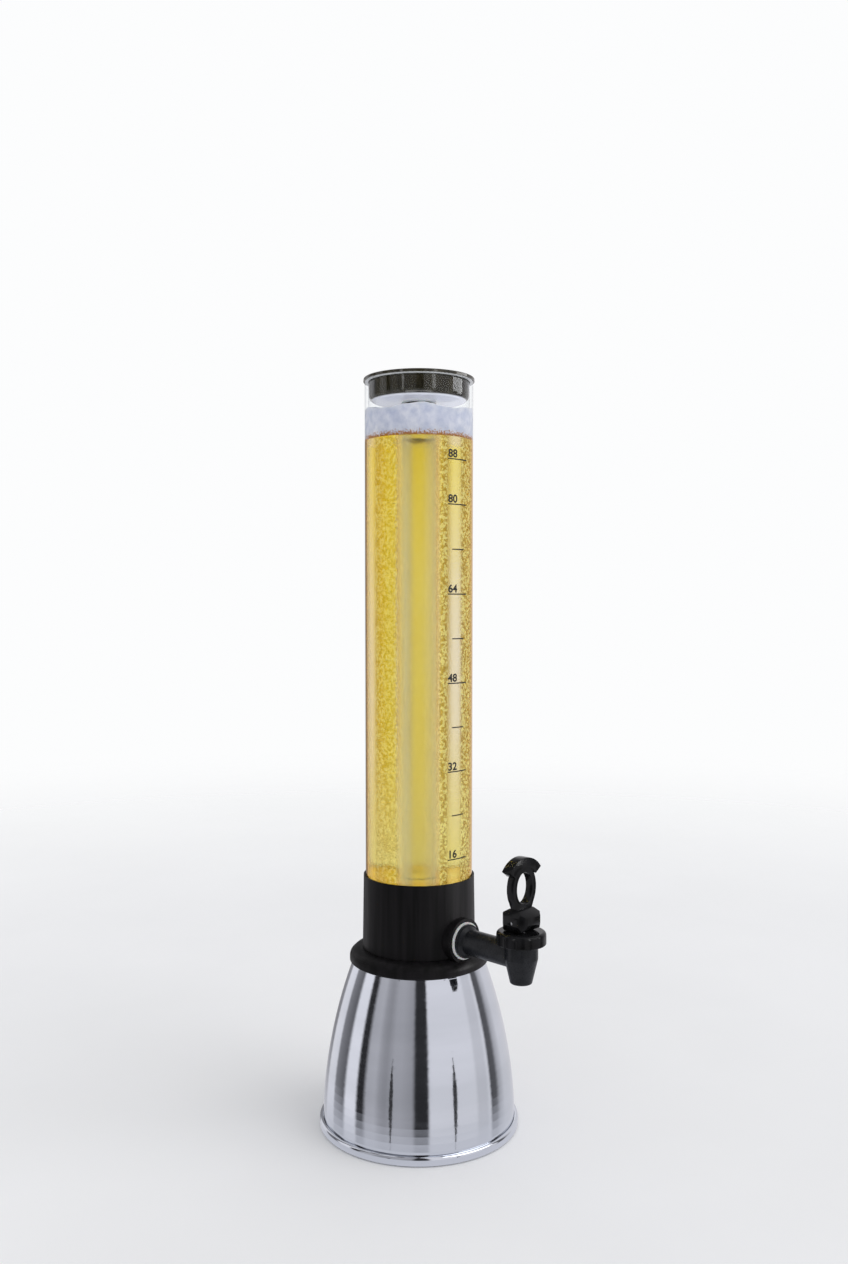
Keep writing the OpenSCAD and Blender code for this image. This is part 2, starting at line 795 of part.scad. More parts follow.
module bonnet() {
    top = bonnet_round;
    low = bonnet_round / 3;
    skirt_r = bonnet_r - bonnet_wall;
    guide_r = stem_r + run_gap;
    outline = concat(
        [[guide_r, bonnet_top_z]],
        arc([bonnet_r - top, bonnet_top_z - top], top, top, 90, 0, round_n),
        arc([bonnet_r - low, bonnet_z + low], low, low, 0, -90, round_n),
        [[skirt_r, bonnet_z], [skirt_r, bonnet_roof_z], [guide_r, bonnet_roof_z]]
    );
    color(black_plastic)
    at_spout()
    difference() {
        rotate_extrude() polygon(outline);
        for (i = [0:flute_count - 1])
            rotate([0, 0, 360 * i / flute_count])
            translate([bonnet_r + flute_r - flute_d, 0, bonnet_z - cut])
            cylinder(r = flute_r, h = bonnet_h - bonnet_round + cut);
    }
}

// Silicone cup: its nose closes the seat and its thin wall keeps the drink off the spring
module seat_cup() {
    in_r = cup_r - cup_wall;
    nose_r = spout_bore_r + seat_lip_w + nose_lap;
    edge_z = nose_z + cup_wall;
    shoulder_low_z = edge_z + cup_wall;
    shoulder_high_z = shoulder_low_z + 2 * cup_wall;
    color(silicone)
    at_spout()
    rotate_extrude() polygon([
        [0, nose_z], [nose_r - cup_wall, nose_z], [nose_r, edge_z], [nose_r, shoulder_low_z],
        [cup_r, shoulder_high_z], [cup_r, rim_in_z], [cup_rim_r, rim_in_z], [cup_rim_r, head_top_z],
        [in_r, head_top_z], [in_r, foot_z], [0, foot_z]
    ]);
}

// Round bar with a foot below and two flats at its top. The flats reach down into the
// bonnet, so that no round part comes up between the lever's cheeks when the valve opens.
module stem() {
    eye_reach = stem_r + cut;
    color(steel)
    at_spout()
    difference() {
        union() {
            translate([0, 0, foot_z]) cylinder(r = stem_foot_r, h = stem_foot_t);
            translate([0, 0, foot_z]) cylinder(r = stem_r, h = stem_top_z - foot_z);
        }
        for (side = [-1, 1])
            translate([side * (stem_flat_w / 2 + stem_r) - stem_r, -2 * stem_r, flat_z])
            cube([2 * stem_r, 4 * stem_r, stem_top_z - flat_z + cut]);
        translate([-eye_reach, 0, pin_z]) rotate([0, 90, 0])
        cylinder(r = pin_r + run_gap, h = 2 * eye_reach);
    }
}

// ---- closing spring: one unbroken round wire --------------------------------

function spring_point(i, j) =
    let(a = 360 * i / spring_rings, b = 360 * j / spring_sides, wire_r = spring_wire_d / 2)
    let(r = spring_r + wire_r * cos(b), z = spring_pitch * i / spring_rings + wire_r * sin(b))
    [r * cos(a), r * sin(a), spring_low_z + z];

function spring_quad(i, j) =
    let(a = i * spring_sides + j, b = i * spring_sides + (j + 1) % spring_sides)
    [[a, b, a + spring_sides], [b, b + spring_sides, a + spring_sides]];

module spring() {
    points = [for (i = [0:spring_n], j = [0:spring_sides - 1]) spring_point(i, j)];
    sides = [for (i = [0:spring_n - 1], j = [0:spring_sides - 1]) each spring_quad(i, j)];
    start = [for (j = [1:spring_sides - 2]) [0, j + 1, j]];
    last = spring_n * spring_sides;
    end = [for (j = [1:spring_sides - 2]) [last, last + j, last + j + 1]];
    color(steel) at_spout() polyhedron(points = points, faces = concat(sides, start, end));
}

// ---- lever ------------------------------------------------------------------

// Side view of the block, first value towards the drinker, second above the pin
module block_side() {
    top = block_rise + shoulder_h;
    polygon(concat(
        [[-shoulder_d / 2, top], [-half_w, block_rise], [-half_w, foot_bevel_h - cam_h],
         [foot_bevel_w - half_w, -cam_h]],
        cam_points,
        [[half_w + cam_lift, block_rise], [half_w, block_rise], [shoulder_d / 2, top]]
    ));
}

// Front view of the block
module block_front() {
    low_w = half_w - foot_bevel_w;
    bevel_z = block_low_z + foot_bevel_h;
    polygon([
        [-low_w, block_low_z], [low_w, block_low_z], [half_w, bevel_z], [half_w, block_top_z],
        [shoulder_w / 2, shoulder_z], [-shoulder_w / 2, shoulder_z],
        [-half_w, block_top_z], [-half_w, bevel_z]
    ]);
}

// Plan of the block
module block_plan() {
    b = half_w - block_bevel;
    polygon([
        [half_w, -b], [half_w, b], [b, half_w], [-b, half_w],
        [-half_w, b], [-half_w, -b], [-b, -half_w], [b, -half_w]
    ]);
}

// Stands a front view upright, t thick, on the spout's axis
module upright(t) {
    translate([0, t / 2, 0]) rotate([90, 0, 0]) linear_extrude(t) children();
}

// Turns a side view so that its first axis points towards the drinker, w wide
module sideways(w) {
    translate([w / 2, 0, pin_z]) rotate([90, 0, -90]) linear_extrude(w) children();
}

module lever_block() {
    intersection() {
        translate([0, 0, block_low_z]) linear_extrude(shoulder_z - block_low_z) block_plan();
        upright(block_w) block_front();
        sideways(block_w) block_side();
    }
}

module lever_loop() {
    low_z = shoulder_z - loop_sunk;
    upright(loop_t)
    difference() {
        union() {
            polygon(ellipse([0, loop_z], loop_w, loop_h, 2 * curve_n));
            polygon([
                [-leg_w / 2, low_z], [leg_w / 2, low_z], [leg_half, leg_top_z], [-leg_half, leg_top_z]
            ]);
        }
        polygon(ellipse([0, loop_z], hole_w, hole_h, 2 * curve_n));
    }
}

module lever_banner() {
    in_r = banner_r - banner_band;
    a = 90 - banner_half;
    upright(banner_t)
    translate([0, banner_z])
    polygon(concat(
        arc([0, 0], banner_r, banner_r, a, 180 - a, curve_n),
        arc([0, 0], in_r, in_r, 180 - a, a, curve_n)
    ));
}

// Room in the block for the stem at every tilt
module lever_slot() {
    a = open_angle + slot_spare;
    out = [sin(a), -cos(a)];
    up = slot_half * [cos(a), sin(a)];
    sideways(slot_w)
    union() {
        circle(r = slot_r);
        polygon([
            [-slot_half, 0], [-slot_half, -slot_reach], [slot_reach, -slot_reach],
            up + slot_reach * out, up
        ]);
    }
}

module lever() {
    color(black_plastic)
    at_spout()
    difference() {
        union() {
            lever_block();
            lever_loop();
            lever_banner();
        }
        lever_slot();
        translate([-half_w - cut, 0, pin_z]) rotate([0, 90, 0])
        cylinder(r = pin_r + run_gap, h = block_w + 2 * cut);
    }
}

module lever_pin() {
    color(steel)
    at_spout() translate([-pin_len / 2, 0, pin_z]) rotate([0, 90, 0])
    cylinder(r = pin_r, h = pin_len);
}

foot_ring();
base_ring();
base_plate();
ballast();
bell();
tie_rod();
tie_washer();
tie_nut();
tie_insert();
collar();
tube_gasket();
tube();
lid();
ice_tube();
ice_tube_seal();
tap_gasket();
tap_body();
inner_washer();
tap_nut();
bonnet();
seat_cup();
spring();
stem();
lever();
lever_pin();
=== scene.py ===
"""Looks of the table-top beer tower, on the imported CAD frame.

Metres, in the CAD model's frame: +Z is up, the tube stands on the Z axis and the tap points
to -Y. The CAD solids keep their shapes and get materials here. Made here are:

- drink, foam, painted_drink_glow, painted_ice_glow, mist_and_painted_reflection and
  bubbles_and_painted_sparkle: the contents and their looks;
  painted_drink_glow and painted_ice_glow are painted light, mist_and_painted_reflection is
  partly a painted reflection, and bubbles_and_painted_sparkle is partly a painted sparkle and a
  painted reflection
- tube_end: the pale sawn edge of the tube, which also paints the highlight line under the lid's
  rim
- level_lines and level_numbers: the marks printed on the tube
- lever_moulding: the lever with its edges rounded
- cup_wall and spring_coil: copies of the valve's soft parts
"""
import math

import bmesh
import bpy
import mathutils
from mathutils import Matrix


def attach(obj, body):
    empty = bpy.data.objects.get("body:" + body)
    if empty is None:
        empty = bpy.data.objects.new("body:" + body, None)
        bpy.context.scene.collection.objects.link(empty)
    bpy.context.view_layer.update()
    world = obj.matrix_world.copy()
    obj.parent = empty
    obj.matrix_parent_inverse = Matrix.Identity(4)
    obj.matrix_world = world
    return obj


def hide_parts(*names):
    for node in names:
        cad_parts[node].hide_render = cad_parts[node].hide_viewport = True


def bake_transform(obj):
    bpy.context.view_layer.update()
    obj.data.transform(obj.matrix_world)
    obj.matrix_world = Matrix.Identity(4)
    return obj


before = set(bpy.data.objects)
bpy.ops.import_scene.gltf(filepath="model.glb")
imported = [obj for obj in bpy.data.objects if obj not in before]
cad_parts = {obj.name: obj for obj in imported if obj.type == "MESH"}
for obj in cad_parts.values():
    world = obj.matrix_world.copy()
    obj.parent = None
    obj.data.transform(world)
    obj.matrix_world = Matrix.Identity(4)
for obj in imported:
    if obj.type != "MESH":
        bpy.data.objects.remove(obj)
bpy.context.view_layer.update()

# ---- sizes -----------------------------------------------------------------------------

MM = 0.001

# Reservoir, as in the CAD model
TUBE_R = 47.5 * MM
TUBE_BORE_R = 44.5 * MM
TUBE_FOOT = 197.5 * MM
TUBE_TOP = 659.5 * MM
RESERVOIR_FLOOR = 170.0 * MM
COLLAR_RIM = 225.5 * MM
PLUG_FOOT = 642.0 * MM
ICE_R = 15.0 * MM
ICE_BORE_R = 12.6 * MM
ICE_FLOOR = 207.0 * MM

# The side that the photo shows
FRONT = math.radians(-135)

# Drink. It reaches into the tube's wall, which then looks full of drink, as in the photo
LIQUID_R = 47.2 * MM
LIQUID_TOP = 607.5 * MM
LIQUID_GAP = 0.5 * MM
WALL_STEPS = 24

# Keeps two surfaces just apart
HAIR = 0.1 * MM

# Painted light: a bright golden sheet just under the collar's rim stands in for the glowing
# drink there; it turns golden over the range of distances from the origin given below
GLOW_DEPTH = 0.4 * MM
GLOW_THICK = 0.3 * MM
GLOW_GOLD = (225.8 * MM, 227.4 * MM)
ICE_GLOW_GAP = 0.6 * MM

# Thin shells of beads on the ice tube and of bubbles on the drink's wall, which also carry
# painted reflections and a painted sparkle: how far out their inner and outer sides are. The
# beads turn golden over MIST_GOLD's range of heights
SHELL_TOP = LIQUID_TOP - 1.0 * MM
MIST_SHELL = (0.15 * MM, 0.35 * MM)
MIST_GOLD = (500.0 * MM, 605.0 * MM)
BUBBLE_SHELL = (0.06 * MM, 0.14 * MM)
BUBBLE_GRAIN = 2.4 * MM

# Sawn edge of the tube, a pale band that also paints the highlight line under the lid's rim
SAWN_GAP = 0.2 * MM
SAWN_LOW = 0.8 * MM
SAWN_HIGH = 0.05 * MM

# Foam
FOAM_EDGE = 634.5 * MM
FOAM_CLIMB = 5.5 * MM
FOAM_LUMP = 1.1 * MM
FOAM_WAVE = 1.7 * MM
FOAM_WAVES = 5
FOAM_RIM = 1.0 * MM
FOAM_STEPS = 10
FOAM_RINGS = 20
LUMPS_IN_A_METRE = 90
DIMPLES_IN_A_METRE = 210
RUST_HEIGHT = 9.0 * MM

# Foot of the plug, painted pale as painted light for the glow of the foam below: its colour
# fades out between these heights above PLUG_FOOT
PAINTED_LIGHT_FOOT = (0.6 * MM, 1.4 * MM)

# Level marks: one fluid ounce fills 4.7537 mm of the tube
MARK_STEP = 4.7537 * MM
LONG_MARKS = (16, 32, 48, 64, 80, 88)
SHORT_MARKS = (24, 40, 56, 72)
LONG_MARK = 22.8 * MM
SHORT_MARK = 14.3 * MM
MARK_LINE = 1.0 * MM
MARK_STRIPS = 16
NUMBER_SIZE = 9.4 * MM
NUMBER_WIDE = 1.06
NUMBER_LIFT = 1.5 * MM
NUMBER_BOLD = 0.28 * MM
NUMBER_CURVE = 6
INK_R = TUBE_R + 0.06 * MM

# Lever: edges that turn by more than LEVER_CORNER are rounded
LEVER_ROUND = 0.45 * MM
LEVER_CORNER = math.radians(28)
LEVER_SEGMENTS = 3
SAME_PLANE = math.radians(0.5)

# ---- node trees ------------------------------------------------------------------------

# The part of a noise's range that is spread out, for a grain and for patches
GRAIN = (0.3, 0.7)
PATCH = (0.35, 0.65)


def feed(tree, socket, value):
    """Links the socket to another node's output, or sets it to a plain value."""
    if isinstance(value, bpy.types.NodeSocket):
        tree.links.new(value, socket)
    else:
        socket.default_value = value


def wire(tree, node, **values):
    """Feeds a node's input sockets, named with _ for each space."""
    for socket, value in values.items():
        feed(tree, node.inputs[socket.replace("_", " ")], value)


def add(tree, kind, **values):
    """Adds a node and feeds its input sockets."""
    node = tree.nodes.new(kind)
    wire(tree, node, **values)
    return node


def blank(name):
    """A new material with its Principled shader."""
    material = bpy.data.materials.new(name)
    material.use_nodes = True
    return material, material.node_tree, material.node_tree.nodes["Principled BSDF"]


def compute(tree, operation, *values):
    """The result of a maths node."""
    node = tree.nodes.new("ShaderNodeMath")
    node.operation = operation
    for socket, value in zip(node.inputs, values):
        feed(tree, socket, value)
    return node.outputs[0]


def remap(tree, value, low, high, to_low, to_high):
    """value from low..high, as to_low..to_high."""
    node = add(tree, "ShaderNodeMapRange")
    for socket, limit in zip(node.inputs, (value, low, high, to_low, to_high)):
        feed(tree, socket, limit)
    return node.outputs[0]


def position(tree):
    """The place of the shaded point."""
    return add(tree, "ShaderNodeTexCoord").outputs["Object"]


def height(tree):
    """How high the shaded point is."""
    return add(tree, "ShaderNodeSeparateXYZ", Vector=position(tree)).outputs["Z"]


def distance(tree):
    """The distance of the shaded point from the origin."""
    node = tree.nodes.new("ShaderNodeVectorMath")
    node.operation = "LENGTH"
    feed(tree, node.inputs[0], position(tree))
    return node.outputs["Value"]


def azimuth_share(tree, vector):
    """The azimuth of a vector, as 0 at -180 degrees to 1 at 180 degrees."""
    axes = add(tree, "ShaderNodeSeparateXYZ", Vector=vector)
    azimuth = compute(tree, "ARCTAN2", axes.outputs["Y"], axes.outputs["X"])
    return remap(tree, azimuth, -math.pi, math.pi, 0, 1)


def facing(tree):
    """0 where the surface faces the view, 1 where it is seen edge on."""
    return add(tree, "ShaderNodeLayerWeight", Blend=0.5).outputs["Facing"]


def noise(tree, size, detail=3.0, stretch=(1, 1, 1)):
    """Noise with features of about size metres; stretch scales its three axes."""
    place = add(tree, "ShaderNodeMapping", Vector=position(tree), Scale=stretch)
    texture = add(
        tree, "ShaderNodeTexNoise", Vector=place.outputs["Vector"], Scale=1 / size,
        Detail=detail,
    )
    return texture.outputs["Fac"]


def grain(tree, size, low, high, detail=3.0):
    """Fine noise as low..high."""
    return remap(tree, noise(tree, size, detail), *GRAIN, low, high)


def patches(tree, size, detail, stretch):
    """Soft patches as 0..1."""
    return remap(tree, noise(tree, size, detail, stretch), *PATCH, 0.0, 1.0)


def mix_colours(tree, factor, a, b, blend="MIX"):
    """A colour that runs from a to b with factor; each is a colour or a socket."""
    mix = tree.nodes.new("ShaderNodeMix")
    mix.data_type = "RGBA"
    mix.blend_type = blend
    feed(tree, mix.inputs[0], factor)
    for socket, colour in ((mix.inputs[6], a), (mix.inputs[7], b)):
        feed(tree, socket, (*colour, 1) if isinstance(colour, tuple) else colour)
    return mix.outputs[2]


def colour_ramp(tree, value, stops):
    """A colour ramp over value, with stops as (position, colour)."""
    ramp = tree.nodes.new("ShaderNodeValToRGB")
    feed(tree, ramp.inputs[0], value)
    elements = ramp.color_ramp.elements
    while len(elements) > 1:
        elements.remove(elements[-1])
    elements[0].position = stops[0][0]
    elements[0].color = (*stops[0][1], 1)
    for at, colour in stops[1:]:
        elements.new(at).color = (*colour, 1)
    return ramp.outputs[0]


def by_azimuth(tree, around, rows):
    """A colour ramp over an azimuth_share, with rows of (degrees, colour)."""
    return colour_ramp(tree, around, [((at + 180) / 360, colour) for at, colour in rows])


def share_by_azimuth(tree, around, rows):
    """The same for rows of (degrees, share)."""
    return by_azimuth(tree, around, [(at, (share, share, share)) for at, share in rows])


def mix_shaders(tree, factor, a, b):
    """A shader that runs from a to b with factor."""
    mix = tree.nodes.new("ShaderNodeMixShader")
    for socket, value in zip(mix.inputs, (factor, a.outputs[0], b.outputs[0])):
        feed(tree, socket, value)
    return mix


def show(tree, shader):
    """Makes the shader the material's surface."""
    wire(tree, tree.nodes["Material Output"], Surface=shader.outputs[0])


def see_through(tree, shader, cover, clear=(1, 1, 1, 1)):
    """Shows the shader with a share of cover, and what is behind it with the rest."""
    through = add(tree, "ShaderNodeBsdfTransparent", Color=clear)
    show(tree, mix_shaders(tree, cover, through, shader))


def surface(name, dark, light, rough, patch, fine, depth, stretch=(1, 1, 1), **sockets):
    """Soft colour patches, and a fine grain in the roughness and in a bump of this depth."""
    material, tree, shader = blank(name)
    relief = noise(tree, fine, 3.0, stretch)
    bump = add(tree, "ShaderNodeBump", Strength=0.6, Distance=depth, Height=relief)
    wire(
        tree, shader,
        Base_Color=mix_colours(tree, patches(tree, patch, 4.0, stretch), dark, light),
        Roughness=remap(tree, relief, *GRAIN, *rough), Normal=bump.outputs["Normal"], **sockets,
    )
    return material


# ---- materials -------------------------------------------------------------------------

chrome = surface(
    "chrome", (0.66, 0.69, 0.75), (0.75, 0.78, 0.85), (0.05, 0.10), 40 * MM, 3 * MM,
    0.01 * MM, (0.15, 0.15, 1), Metallic=1.0,
)
collar_black = surface(
    "collar_black", (0.004, 0.004, 0.004), (0.009, 0.008, 0.009), (0.36, 0.50), 5 * MM,
    1.5 * MM, 0.03 * MM, (1, 1, 0.05), Specular_IOR_Level=0.09,
)
tap_black = surface(
    "tap_black", (0.003, 0.003, 0.003), (0.008, 0.008, 0.009), (0.10, 0.18), 12 * MM,
    0.9 * MM, 0.01 * MM, Specular_IOR_Level=0.14,
)
tap_satin = surface(
    "tap_satin", (0.008, 0.009, 0.011), (0.015, 0.016, 0.019), (0.24, 0.36), 6 * MM,
    1.0 * MM, 0.02 * MM, Specular_IOR_Level=0.22,
)
white_silicone = surface(
    "white_silicone", (0.74, 0.74, 0.72), (0.84, 0.84, 0.83), (0.42, 0.58), 8 * MM,
    0.7 * MM, 0.03 * MM, Subsurface_Weight=0.15, Subsurface_Scale=0.002,
)
rubber = surface(
    "rubber", (0.018, 0.018, 0.018), (0.034, 0.033, 0.032), (0.62, 0.80), 9 * MM,
    0.5 * MM, 0.06 * MM,
)
zinc_steel = surface(
    "zinc_steel", (0.50, 0.51, 0.53), (0.66, 0.67, 0.69), (0.24, 0.38), 7 * MM,
    0.6 * MM, 0.02 * MM, Metallic=1.0,
)
ballast_iron = surface(
    "ballast_iron", (0.055, 0.052, 0.050), (0.11, 0.105, 0.10), (0.50, 0.72), 14 * MM,
    1.2 * MM, 0.15 * MM, Metallic=0.6,
)
brass = surface(
    "brass", (0.60, 0.42, 0.16), (0.76, 0.58, 0.27), (0.22, 0.34), 5 * MM, 0.5 * MM,
    0.02 * MM, Metallic=1.0,
)
ink = surface(
    "ink", (0.008, 0.008, 0.008), (0.022, 0.021, 0.020), (0.34, 0.48), 2 * MM, 0.4 * MM,
    0.005 * MM,
)
# Frosted sawn acrylic, pale enough to be a painted highlight line under the lid's rim as well
sawn_edge_and_highlight = surface(
    "sawn_edge_and_highlight", (0.78, 0.79, 0.80), (0.88, 0.89, 0.90), (0.15, 0.30), 6 * MM, 0.5 * MM,
    0.02 * MM,
)


def make_clear(name, wet_height):
    """Clear wall: a mirror grows towards its edges; up to wet_height it is painted amber, a
    painted shade for the drink seen deep at the edges.
    """
    material, tree, shader = blank(name)
    painted_amber_zone = remap(tree, height(tree), wet_height, wet_height + MM, 1.0, 0.0)
    wire(
        tree, shader, Metallic=1.0,
        Base_Color=mix_colours(tree, painted_amber_zone, (0.93, 0.95, 0.97), (0.90, 0.50, 0.10)),
        Roughness=remap(tree, noise(tree, 6 * MM, 6.0, (1, 1, 0.2)), 0.45, 0.75, 0.02, 0.10),
    )
    turned = facing(tree)
    # Below the liquid the edges turn into an amber mirror: painted shade for the drink seen
    # deep at the edges
    edge = compute(tree, "MULTIPLY", remap(tree, turned, 0.62, 0.84, 0, 0.95), painted_amber_zone)
    glance = remap(tree, compute(tree, "POWER", turned, 6), 0, 1, 0.004, 0.55)
    mirror = compute(tree, "MAXIMUM", glance, edge)
    see_through(tree, shader, mirror, (0.985, 0.99, 0.995, 1))
    return material


def make_smoke():
    """Smoky plastic of the lid: dark where it is thick, and painted pale under its thin floor,
    painted light for the glow of the foam below.
    """
    material, tree, shader = blank("lid_smoke")
    streaks = patches(tree, 9 * MM, 2.0, (1, 1, 0.1))
    smoke = mix_colours(tree, streaks, (0.016, 0.014, 0.008), (0.044, 0.039, 0.024))
    # Painted light: the floor of the plug is painted pale
    low, high = PAINTED_LIGHT_FOOT
    under = remap(tree, height(tree), PLUG_FOOT + low, PLUG_FOOT + high, 1.0, 0.0)
    wire(
        tree, shader, IOR=1.46, Transmission_Weight=0.3,
        Base_Color=mix_colours(tree, under, smoke, (0.80, 0.81, 0.86)),
        Roughness=grain(tree, 2 * MM, 0.03, 0.07),
    )
    return material


def make_drink():
    """Pale lager: clear and golden, deeper where the light goes a long way through it."""
    material, tree, shader = blank("drink")
    cloud = patches(tree, 30 * MM, 3.0, (1, 1, 0.35))
    beads = add(
        tree, "ShaderNodeBump", Strength=0.7, Distance=0.35 * MM,
        Height=noise(tree, 1.3 * MM, 1.0),
    )
    wire(
        tree, shader, IOR=1.33, Transmission_Weight=0.97, Normal=beads.outputs["Normal"],
        Base_Color=mix_colours(tree, cloud, (0.98, 0.92, 0.60), (0.99, 0.95, 0.72)),
        Roughness=grain(tree, 4 * MM, 0.01, 0.03),
    )
    depth = add(
        tree, "ShaderNodeVolumeAbsorption", Color=(0.985, 0.92, 0.28, 1), Density=16.0
    )
    wire(tree, tree.nodes["Material Output"], Volume=depth.outputs[0])
    return material


def make_foam():
    """Head of foam: bluish white, fine bubbles, and a rusty speckled line at its foot."""
    material, tree, shader = blank("foam")
    shades = grain(tree, 7 * MM, 0.0, 1.0, 5.0)
    white = mix_colours(tree, shades, (0.56, 0.60, 0.74), (0.82, 0.83, 0.91))
    rise = remap(tree, height(tree), LIQUID_TOP, LIQUID_TOP + RUST_HEIGHT, 0.0, 1.0)
    ragged = compute(tree, "ADD", rise, grain(tree, 1.2 * MM, -0.34, 0.34, 2.0))
    clean = remap(tree, ragged, 0.12, 0.42, 0.0, 1.0)
    cells = add(tree, "ShaderNodeTexVoronoi", Scale=1 / (1.6 * MM))
    bump = add(
        tree, "ShaderNodeBump", Strength=0.5, Distance=0.5 * MM,
        Height=cells.outputs["Distance"],
    )
    wire(
        tree, shader, Subsurface_Weight=0.8, Subsurface_Radius=(1, 1, 1),
        Subsurface_Scale=0.012, Base_Color=mix_colours(tree, clean, (0.42, 0.16, 0.015), white),
        Roughness=grain(tree, 2 * MM, 0.45, 0.70), Normal=bump.outputs["Normal"],
    )
    return material


def make_haze():
    """Painted light for the drink where it hides in the collar: a golden mirror, deeper towards
    the wall.
    """
    material, tree, shader = blank("painted_drink_glow")
    # Pale near the ice tube, painted golden towards the wall
    out = remap(tree, distance(tree), *GLOW_GOLD, 0.0, 1.0)
    wire(
        tree, shader, Metallic=0.75, Roughness=grain(tree, 3 * MM, 0.08, 0.16),
        Base_Color=mix_colours(tree, out, (0.97, 0.92, 0.80), (0.92, 0.72, 0.35)),
    )
    return material


def make_mist():
    """Fine beads on the cold ice tube: cream, golden near the foam, denser at the edges, where
    the cream is also a painted reflection.
    """
    material, tree, shader = blank("mist_and_painted_reflection")
    high = remap(tree, height(tree), *MIST_GOLD, 0.0, 1.0)
    wire(
        tree, shader, Roughness=grain(tree, 1 * MM, 0.5, 0.7),
        Base_Color=mix_colours(tree, high, (0.98, 0.97, 0.94), (0.98, 0.93, 0.62)),
    )
    # The cover grows where the ice tube is seen edge on, which paints a reflection on its edges
    see_through(tree, shader, remap(tree, facing(tree), 0.0, 0.7, 0.08, 0.4))
    return material


# Where bubbles and their painted sparkle cover the wall, mostly on the FRONT side: azimuth,
# cover
BUBBLES_AND_SPARKLE = (
    (-180, 0.20), (-159, 0.20), (-157, 0.10), (-154, 0.20), (-147, 0.20), (-140, 0),
    (-131, 0), (-125, 0.10), (-118, 0.18), (-115, 0.10), (-113, 0.32), (-105, 0.32), (-103, 0),
    (-87, 0), (-85, 0.32), (-58, 0.30), (-50, 0), (171, 0), (174, 0.20), (180, 0.20),
)
# Where the bubbles are painted cream, a painted reflection on the FRONT side: azimuth, share
PAINTED_CREAM = ((-180, 0), (-158, 0), (-156, 1), (-115, 1), (-113.5, 0), (180, 0))


def make_bubbles():
    """Fine bubbles on the tube's wall, a grain of dark and pale gold that paints their sparkle,
    with bands painted cream as a painted reflection.
    """
    material, tree, shader = blank("bubbles_and_painted_sparkle")
    # Painted sparkle: the grain of dark and pale gold stands for the glints of the bubbles
    specks = remap(tree, noise(tree, BUBBLE_GRAIN, 2.0), 0.42, 0.58, 0.0, 1.0)
    gold = mix_colours(tree, specks, (0.44, 0.25, 0.004), (1.0, 0.94, 0.36))
    around = azimuth_share(tree, position(tree))
    # Painted reflection: bands of cream over the bubbles
    painted_cream = share_by_azimuth(tree, around, PAINTED_CREAM)
    wire(
        tree, shader, Base_Color=mix_colours(tree, painted_cream, gold, (0.93, 0.87, 0.48)),
        Roughness=remap(tree, specks, 0, 1, 0.5, 0.7),
    )
    see_through(tree, shader, share_by_azimuth(tree, around, BUBBLES_AND_SPARKLE))
    return material


FINISHES = {
    "foot_ring": rubber,
    "base_ring": chrome,
    "base_plate": zinc_steel,
    "ballast": ballast_iron,
    "bell": chrome,
    "tie_rod": zinc_steel,
    "tie_washer": zinc_steel,
    "tie_nut": zinc_steel,
    "tie_insert": brass,
    "collar": collar_black,
    "tube_gasket": white_silicone,
    "tube": make_clear("clear_wall", LIQUID_TOP),
    "lid": make_smoke(),
    "ice_tube": make_clear("ice_wall", 0),
    "ice_tube_seal": white_silicone,
    "tap_gasket": white_silicone,
    "tap_body": tap_satin,
    "inner_washer": white_silicone,
    "tap_nut": tap_satin,
    "bonnet": tap_black,
    "seat_cup": white_silicone,
    "spring": zinc_steel,
    "stem": zinc_steel,
    "lever": tap_black,
    "lever_pin": zinc_steel,
}


def dress(piece, material):
    """Gives the whole piece one material."""
    piece.data.materials.clear()
    piece.data.materials.append(material)


for node, finish in FINISHES.items():
    dress(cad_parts[node], finish)

# ---- meshes ----------------------------------------------------------------------------


def new_object(name, bm, material):
    """Makes an object from a bmesh."""
    mesh = bpy.data.meshes.new(name)
    bm.to_mesh(mesh)
    bm.free()
    made = bpy.data.objects.new(name, mesh)
    bpy.context.collection.objects.link(made)
    dress(made, material)
    return made


def new_piece(name, bm, material, body=None, sharp=35):
    """Makes a smooth piece on a body, with edges over sharp degrees kept sharp."""
    piece = new_object(name, bm, material)
    piece.data.shade_smooth()
    piece.data.set_sharp_from_angle(angle=math.radians(sharp))
    if body:
        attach(piece, body)
    return piece


def revolve(profile, sides=128):
    """A closed solid of revolution: profile is a closed loop of (radius, height)."""
    bm = bmesh.new()
    rings = []
    for i in range(sides):
        turn = 2 * math.pi * i / sides
        c, s = math.cos(turn), math.sin(turn)
        rings.append([bm.verts.new((r * c, r * s, z)) for r, z in profile])
    for i in range(sides):
        here, there = rings[i], rings[(i + 1) % sides]
        for j in range(len(profile)):
            k = (j + 1) % len(profile)
            bm.faces.new((here[j], there[j], there[k], here[k]))
    bmesh.ops.remove_doubles(bm, verts=bm.verts, dist=1e-7)
    bmesh.ops.recalc_face_normals(bm, faces=bm.faces)
    return bm


def flat_ring(inner, outer, low, high):
    return revolve([(inner, low), (outer, low), (outer, high), (inner, high)])


def steps(low, high, count):
    """count equal steps from low to high."""
    return [low + (high - low) * i / count for i in range(count + 1)]


# ---- drink and foam --------------------------------------------------------------------

hole_r = ICE_R + LIQUID_GAP
drink_foot = TUBE_FOOT + LIQUID_GAP
glow_z = COLLAR_RIM - GLOW_DEPTH
foam_low = LIQUID_TOP + HAIR


def wall(radius, low, high, count):
    """An upright side of a profile."""
    return [(radius, z) for z in steps(low, high, count)]


